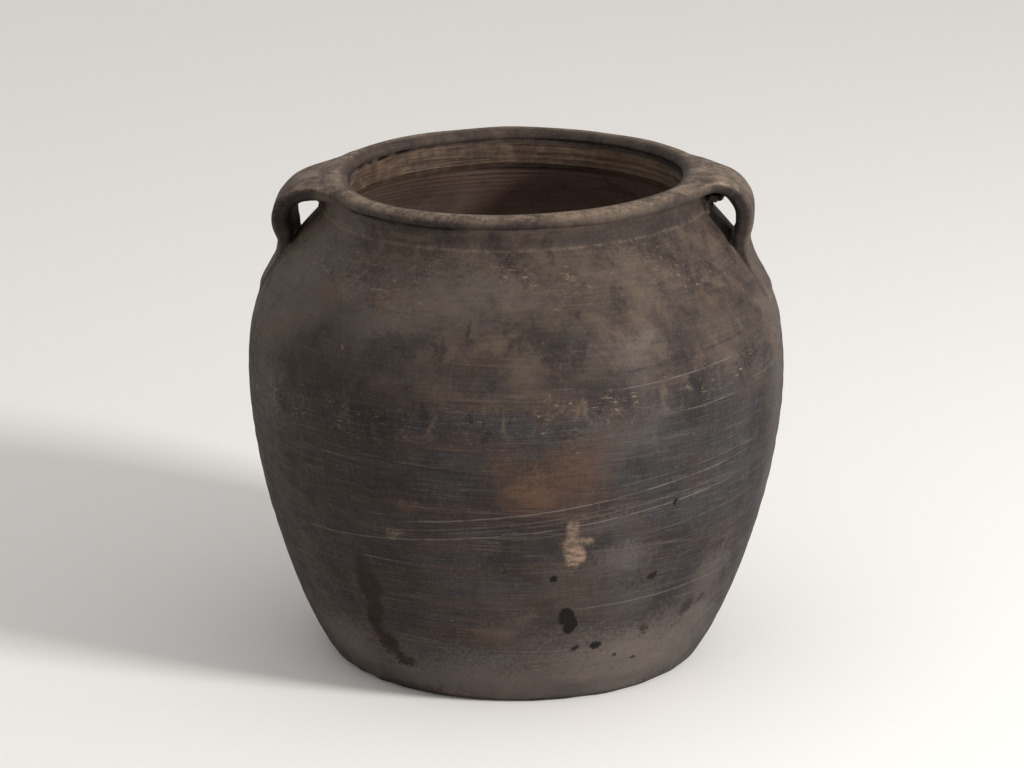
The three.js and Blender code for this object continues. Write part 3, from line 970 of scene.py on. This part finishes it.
class Clay(Shader):
    """Unglazed clay, blackened by smoke: grey below, browner above and inside."""

    def __init__(self, name):
        super().__init__(name)
        self.where = self.add("ShaderNodeTexCoord").outputs["Object"]
        self.x, self.y, self.z = self.add("ShaderNodeSeparateXYZ", {0: self.where}).outputs
        self.side = self.math("ARCTAN2", self.x, self.times(self.y, -1.0))
        self.inside = self.attribute("inside")
        self.wear_and_top_light = self.attribute("wear_and_top_light")

        self.broad = self.noise(self.where, 13, 3)
        self.cloud = self.noise(self.where, 34, 4, 0.62)
        self.mottle = self.noise(self.where, 120, 4, 0.65)
        self.speck = self.noise(self.where, 560, 3, 0.7)
        self.bands = self.noise(self.stretch(self.where, (1, 1, 8), -7), 9, 4, 0.6)
        self.strokes = self.noise(self.stretch(self.where, (1, 1, 15), -7), 20, 4, 0.62, 0.3)
        self.lines = self.noise(self.stretch(self.where, (1, 1, 28), -6), 48, 3, 0.6, 0.2)
        self.fibres = self.noise(self.stretch(self.where, (1, 1, 0.12), 4), 420, 2, 0.6)
        self.low = self.ramp(self.z, 0.9 * SEAM_HEIGHT, 1.12 * SEAM_HEIGHT, 1.0, 0.0)

    def spots(self, color, paint, marks, wander, broken=0.0):
        """Paints a list of marks, whose edges noise pushes about by up to about `wander` millimetres.
        A broken mark lets the ground show through in level streaks."""
        drift = wander * MM * 1.6
        side = self.sum(self.side, self.times(self.sum(self.mottle, -0.5), drift / SPOT_RADIUS))
        height = self.sum(self.z, self.times(self.sum(self.speck, self.cloud, -1.0), drift))
        masks = []
        for degrees, middle, half_width, half_height, lean, softness, strength in marks:
            width = half_width * MM / SPOT_RADIUS
            across = self.math("MULTIPLY_ADD", side, 1 / width, -math.radians(degrees) / width)
            up = self.math("MULTIPLY_ADD", height, 1 / (half_height * MM), -middle / half_height)
            across = self.math("MULTIPLY_ADD", up, -lean * half_height / half_width, across)
            away = self.add("ShaderNodeCombineXYZ", {0: across, 1: up}).outputs[0]
            length = self.add("ShaderNodeVectorMath", {0: away}, operation="LENGTH").outputs["Value"]
            masks.append(self.ramp(length, 1 - softness, 1 + softness, strength, 0.0))
        total = self.highest(masks)
        if broken:
            streaks = self.noise(self.stretch(self.where, (1, 1, 4), -4), 150, 3, 0.65)
            total = self.times(total, self.ramp(streaks, 0.4, 0.56, 1 - broken, 1.0))
        outer = self.math("SUBTRACT", 1.0, self.inside)
        return self.mix(self.times(total, outer), color, paint)

    def lower_ground(self):
        banded = self.times(self.ramp(self.bands, 0.42, 0.62), self.ramp(self.x, -110 * MM, -30 * MM, 0.3))
        blue = self.math("MAXIMUM", banded, self.ramp(self.x, 0.0, 70 * MM))
        return self.coats(
            self.mix(blue, GREY_BROWN, GREY_BLUE),
            (DARK, self.broad, 0.46, 0.62, 0.75),
            (GREY_BROWN, self.cloud, 0.5, 0.66, 0.6),
            (DARK, self.cloud, 0.46, 0.34, 0.6),
            (DARK, self.mottle, 0.54, 0.72, 0.3),
            (DARK, self.strokes, 0.52, 0.74, 0.5),
            (DUST, self.strokes, 0.46, 0.26, 0.36),
        )

    def upper_ground(self):
        blotches = self.noise(self.where, 62, 4, 0.6, 0.5)
        return self.coats(
            SHOULDER_BROWN,
            (GREY_BROWN, self.cloud, 0.36, 0.62, 1.0),
            (SHOULDER_TAN, self.broad, 0.5, 0.64, 0.5),
            (SHOULDER_TAN, blotches, 0.5, 0.66, 0.6),
            (DARK, blotches, 0.48, 0.34, 0.65),
            (SHOULDER_TAN, self.mottle, 0.5, 0.7, 0.3),
            (DARK, self.bands, 0.5, 0.72, 0.4),
            (SHOULDER_TAN, self.strokes, 0.44, 0.28, 0.3),
        )

    def turning_marks(self, color):
        """Fine lines that follow the wheel, clearest on the lower wall."""
        marks = ((DARK, self.lines, 0.53, 0.7, 0.5), (DUST, self.lines, 0.44, 0.28, 0.28))
        return self.coats(color, *marks, within=self.ramp(self.low, 0, 1, 0.45, 1.0))

    def drawn_lines(self, lines, half_width):
        """Long thin lines, each broken up and fading at its ends."""
        masks = []
        for height, climb, first, last, strength in lines:
            level = self.math("MULTIPLY_ADD", self.x, -math.tan(math.radians(climb)), self.z)
            wavy = self.sum(level, self.times(self.broad, 2.4 * MM))
            line = self.band(wavy, (height + 1.2) * MM, half_width)
            middle = math.radians((first + last) / 2)
            reach = math.radians((last - first) / 2)
            away = self.math("ABSOLUTE", self.sum(self.side, -middle))
            masks.append(self.times(line, self.ramp(away, 0.7 * reach, reach, strength, 0.0)))
        breaks = self.ramp(self.noise(self.where, 90, 3, 0.7), 0.36, 0.56, 0.25, 1.0)
        return self.times(self.highest(masks), breaks)

    def scratches(self, lean, scale, threshold):
        """Short pale dashes at one lean."""
        dashes = self.noise(self.stretch(self.where, (1, 1, 3.5), lean), scale, 3, 0.75, 0.6)
        return self.ramp(dashes, threshold, threshold + 0.09)

    def seam_belt(self):
        """1 along the belly seam, where the two thrown sections were rubbed together."""
        return self.band(self.sum(self.z, self.times(self.x, -0.08)), 0.955 * SEAM_HEIGHT, 17 * MM)

    def scuffs(self, color):
        """Rubbed blotches along the belly seam, some tan and some dark, a little taller than wide."""
        blotches = self.noise(self.stretch(self.where, (1, 1, 0.6), 6), 75, 4, 0.7, 0.6)
        marks = ((SHOULDER_TAN, blotches, 0.53, 0.66, 0.8), (SOOT_AND_PAINTED_SHADE, blotches, 0.47, 0.36, 0.8))
        return self.coats(color, *marks, within=self.seam_belt())

    def flecks(self):
        """Pale scratches and chips, at the belly seam, on the shoulder and at the foot."""
        shoulder = self.band(self.z, 0.94 * COLLAR_FOOT_HEIGHT, 18 * MM)
        foot = self.band(self.z, 30 * MM, 30 * MM)
        belt = self.sum(self.seam_belt(), self.times(shoulder, 0.75), self.times(foot, 0.5), 0.12)
        clusters = self.ramp(self.cloud, 0.42, 0.6, 0.3, 1.0)
        level = self.scratches(-9, 150, 0.6)
        slanting = self.times(self.scratches(38, 120, 0.63), 0.9)
        chips = self.ramp(self.noise(self.where, 330, 2, 0.6), 0.67, 0.73, 0.0, 0.8)
        return self.times(self.highest((level, slanting, chips)), belt, clusters)

    def inner_color(self):
        """Brown and scored near the mouth, smoother and greyer below, and painted paler on the right,
        where the rim's shadow falls inside: painted fill light in that shade.
        """
        near_mouth = self.ramp(self.z, COLLAR_FOOT_HEIGHT - 7 * MM, COLLAR_FOOT_HEIGHT - MM)
        # Painted fill light: the shadowed right side of the inside is painted paler, here and in the brown
        # near the mouth.
        smooth = self.mix(self.ramp(self.x, -55 * MM, -5 * MM), INSIDE_GREY, INSIDE_PAINTED_FILL)
        brown = self.mix(self.ramp(self.x, 0.0, 80 * MM, 0.0, 0.4), INSIDE_BROWN, TAN)
        color = self.coats(
            self.mix(near_mouth, smooth, brown),
            (TAN, self.mottle, 0.45, 0.7, 0.35),
            (SHOULDER_BROWN, self.cloud, 0.5, 0.68, 0.4),
        )
        grooves = self.noise(self.stretch(self.where, (1, 1, 45)), 16, 4, 0.7)
        scores = self.noise(self.stretch(self.where, (1, 1, 40)), 38, 3, 0.65)
        return self.coats(
            color,
            (INSIDE_DARK, grooves, 0.54, 0.66, 0.6),
            (INSIDE_DARK, scores, 0.55, 0.64, 0.8),
            (FLECK, scores, 0.43, 0.34, 0.45),
            within=self.ramp(near_mouth, 0, 1, 0.3, 1.0),
        )

    def rim_wear_and_painted_light(self, color):
        """The lip's top is rubbed brown at the sides and the front, which also paints on light from above,
        and it is sooty at the back and below, where painted shade darkens its lower face.
        """
        on_lip = self.ramp(self.z, UNDERCUT_HEIGHT - MM, UNDERCUT_HEIGHT + 0.6 * MM)
        stains = self.ramp(self.sum(self.mottle, self.cloud), 0.9, 1.15, 0.15, 0.6)
        # Painted shade on the lip's lower face under its roll, carried by sooty stains.
        painted_shade_below = self.ramp(self.z, LIP_HEIGHT - MM, LIP_TOP, 1.0, 0.3)
        outer = self.math("SUBTRACT", 1.0, self.wear_and_top_light)
        color = self.mix(self.times(on_lip, painted_shade_below, stains, outer), color, SOOT_AND_PAINTED_SHADE)
        fine = self.sum(self.times(self.mottle, 0.7), self.times(self.speck, 0.5))
        patches = self.ramp(self.sum(fine, self.times(self.cloud, 0.5)), 0.98, 0.7, 0.15, 0.95)
        # Wear colour on the tops of the lip and straps, which also stands in for light from above.
        color = self.mix(self.times(self.wear_and_top_light, patches), color, WORN_AND_TOP_LIT)
        back = self.ramp(self.y, 20 * MM, 75 * MM, 0.0, 0.15)
        return self.mix(self.times(on_lip, back), color, DARK)

    def weathering(self, color):
        """Grain at the finest scale: a woven look from brushing both ways, and pale dust."""
        across = self.times(self.fibres, 0.4)
        along = self.times(self.lines, 0.4)
        weave = self.sum(across, along, self.times(self.speck, 0.8))
        grit = self.noise(self.where, 800, 1, 0.5)
        return self.coats(
            color,
            (SOOT_AND_PAINTED_SHADE, weave, 0.82, 1.06, 0.35),
            (DUST, weave, 0.78, 0.56, 0.25),
            (FLECK, grit, 0.7, 0.8, 0.25),
        )

    def fresh_clay(self, color):
        """Clay that was only pressed on stays rough, brown and crumbly."""
        crumbs = self.ramp(self.sum(self.mottle, self.speck), 0.85, 1.15)
        return self.mix(self.attribute("fresh"), color, self.mix(crumbs, WET_BROWN, SHOULDER_TAN))

    def paint(self):
        color = self.turning_marks(self.mix(self.low, self.upper_ground(), self.lower_ground()))
        color = self.scuffs(color)
        color = self.spots(color, SHOULDER_TAN, BROWN_AREAS, 16)
        color = self.spots(color, DUST, PALE_AREAS, 20)
        color = self.spots(color, SOOT_AND_PAINTED_SHADE, SMUDGES, 16)
        # Painted shade on the neck under the lip.
        color = self.spots(color, SOOT_AND_PAINTED_SHADE, UNDER_LIP_PAINTED_SHADE, 5)
        color = self.spots(color, BLUSH, BLUSHES, 18, 0.3)
        color = self.mix(self.times(self.drawn_lines(DARK_LINES, 0.9 * MM), 0.8), color, SOOT_AND_PAINTED_SHADE)
        color = self.mix(self.drawn_lines(TURNING_LINES, 0.55 * MM), color, PALE_LINE)
        color = self.mix(self.times(self.flecks(), 0.8), color, FLECK)
        color = self.spots(color, TAN, TAN_SPOTS, 6, 0.6)
        below_lip = self.ramp(self.z, UNDERCUT_HEIGHT - MM, UNDERCUT_HEIGHT + 0.6 * MM, 1.0, 0.0)
        color = self.mix(self.times(self.inside, below_lip), color, self.inner_color())
        color = self.rim_wear_and_painted_light(color)
        # Painted shade, in a sooty colour, on the sides and undersides of the free straps.
        color = self.mix(self.times(self.attribute("strap_painted_shade"), 0.75), color, SOOT_AND_PAINTED_SHADE)
        color = self.weathering(self.fresh_clay(color))
        color = self.spots(color, WET_BROWN, BROWN_SPOTS, 11, 0.2)
        color = self.spots(color, WET, WET_SPOTS, 3.2)
        return self.mix(self.attribute("crack"), color, WET)

    def bumps(self):
        height = self.sum(
            self.times(self.speck, 0.45),
            self.times(self.mottle, 0.5),
            self.times(self.lines, self.low, 0.6),
            self.times(self.fibres, 0.12),
            self.times(self.flecks(), 0.3),
        )
        inputs = {"Strength": 0.8, "Distance": 0.35 * MM, "Height": height}
        return self.add("ShaderNodeBump", inputs).outputs[0]

    def build(self):
        gloss = self.sum(self.times(self.strokes, -0.25), self.times(self.mottle, 0.4))
        return self.finish(
            {
                "Base Color": self.paint(),
                "Roughness": self.ramp(gloss, -0.1, 0.25, 0.52, 0.84),
                "Specular IOR Level": 0.15,
                "Normal": self.bumps(),
            }
        )


# ------------ stage, light and camera


def floor():
    half = 12.0
    mesh = bpy.data.meshes.new("floor")
    corners = [(-half, -half, 0), (half, -half, 0), (half, half, 0), (-half, half, 0)]
    mesh.from_pydata(corners, [], [(0, 1, 2, 3)])
    paint = {"Base Color": srgb(236, 234, 231), "Roughness": 0.9}
    mesh.materials.append(Shader("pale_floor").finish(paint))
    obj = bpy.data.objects.new("floor", mesh)
    bpy.context.scene.collection.objects.link(obj)


def pale_world(strength):
    world = bpy.data.worlds.new("pale_world")
    world.use_nodes = True
    background = world.node_tree.nodes["Background"]
    background.inputs["Color"].default_value = (1.0, 0.985, 0.97, 1)
    background.inputs["Strength"].default_value = strength
    bpy.context.scene.world = world


def soft_light(name, side, height, distance, size, power, color):
    """A square lamp that looks at the jar's shoulder, `side` degrees to the right of the front."""
    target = Vector((0, 0, 0.8 * SEAM_HEIGHT))
    turn, rise = math.radians(side), math.radians(height)
    out = Vector((math.cos(rise) * math.sin(turn), -math.cos(rise) * math.cos(turn), math.sin(rise)))
    lamp = bpy.data.lights.new(name, "AREA")
    lamp.size = size
    lamp.energy = power
    lamp.color = color
    obj = bpy.data.objects.new(name, lamp)
    obj.location = target + distance * out
    obj.rotation_euler = (-out).to_track_quat("-Z", "Y").to_euler()
    bpy.context.scene.collection.objects.link(obj)


def camera():
    data = bpy.data.cameras.new("camera")
    data.sensor_width = 36
    data.lens = 140.6
    data.clip_end = 60
    obj = bpy.data.objects.new("camera", data)
    obj.location = (-1.8 * MM, -2.0352, 0.7628)
    obj.rotation_euler = (math.radians(90 - 16.953), 0, 0)
    bpy.context.scene.collection.objects.link(obj)
    bpy.context.scene.camera = obj


# ------------ the jar


def fire():
    """Gives every slot's pieces their clay, which is the same all over the jar."""
    clay = Clay("smoked_clay").build()
    for slot, pieces in PIECES.items():
        own = clay if slot == "smoked_clay" else clay.copy()
        own.name = slot
        for piece in pieces:
            piece.data.materials.append(own)


def build():
    base_disc()
    turned_ring("lower_wall", wall_section(BASE_TOP, SEAM_HEIGHT, 4 * MM), "smoked_clay")
    turned_ring("shoulder_wall", wall_section(SEAM_HEIGHT, COLLAR_FOOT_HEIGHT, 0.6 * MM), "shoulder_clay")
    turned_ring("rim_collar", collar_section(), "rim_clay")
    for which, azimuth, lean in (("left", math.pi, 0), ("right", 0, -0.07)):
        luting(which, handle(which, azimuth + HANDLE_AZIMUTH, lean))
    fire()


camera()
build()
floor()
pale_world(0.66)
soft_light("key", 59, 26, 2.4, 0.45, 60, (1.0, 0.98, 0.95))
bpy.context.scene.view_settings.view_transform = "Standard"
